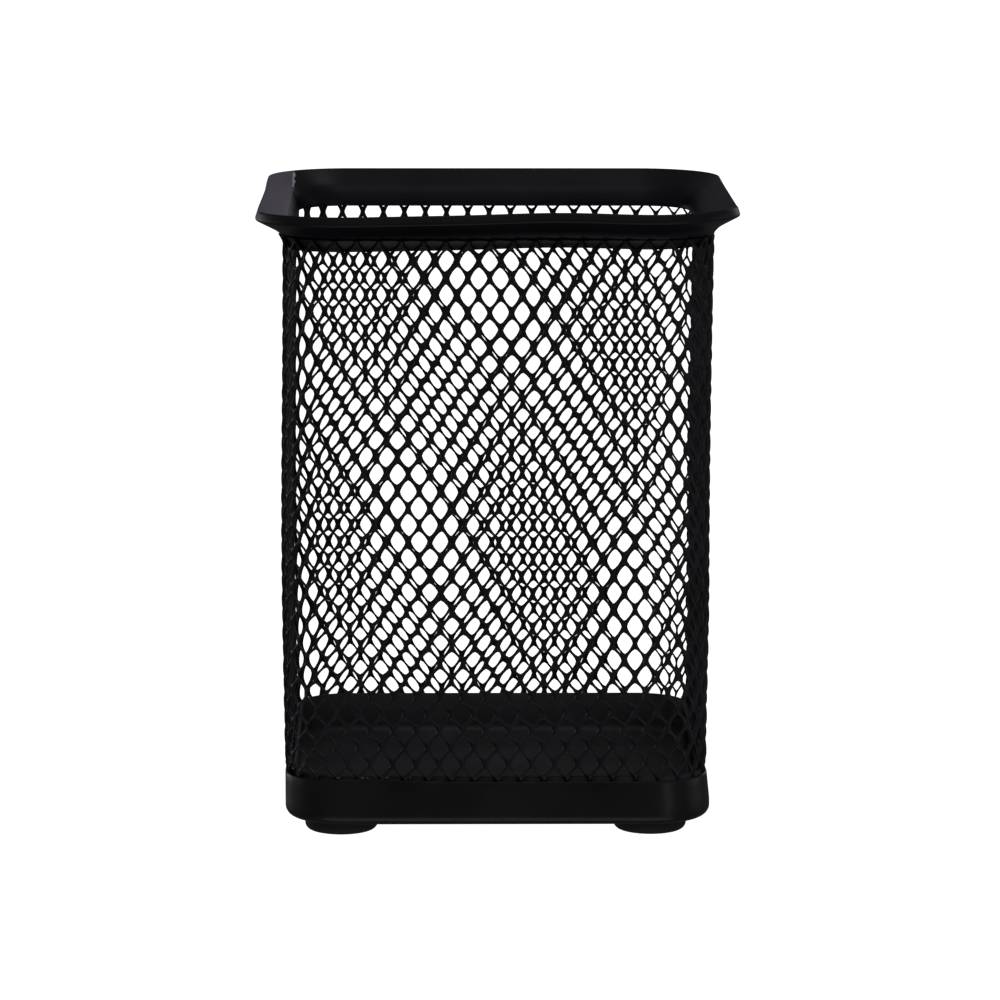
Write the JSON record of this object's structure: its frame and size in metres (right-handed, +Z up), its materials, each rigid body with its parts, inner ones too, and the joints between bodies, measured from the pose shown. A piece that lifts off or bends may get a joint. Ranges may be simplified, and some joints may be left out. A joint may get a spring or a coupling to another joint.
{
  "type": "pen holder cup",
  "caption": "Square desk cup for pens: black expanded-mesh sleeve, flared rim, pressed base with a smooth band, rubber feet.",
  "frame": {"origin": "centre of the footprint, on the surface the cup stands on", "axes": "+Z up through the open mouth; -Y out of the wall that faces the viewer; +X to the viewer's right"},
  "size_m": [0.08, 0.08, 0.106],
  "materials": {
    "black_powder_coat": "satin black powder coat on steel",
    "black_rubber": "matte black rubber"
  },
  "bodies": {
    "root": {"mesh_front": "black_powder_coat", "mesh_right": "black_powder_coat", "mesh_back": "black_powder_coat", "mesh_left": "black_powder_coat", "mesh_corner_front_right": "black_powder_coat", "mesh_corner_back_right": "black_powder_coat", "mesh_corner_back_left": "black_powder_coat", "mesh_corner_front_left": "black_powder_coat", "top_rim": "black_powder_coat", "base_band": "black_powder_coat", "base_pan": "black_powder_coat", "foot_front_left": "black_rubber", "foot_front_right": "black_rubber", "foot_back_right": "black_rubber", "foot_back_left": "black_rubber"}
  },
  "joints": []
}
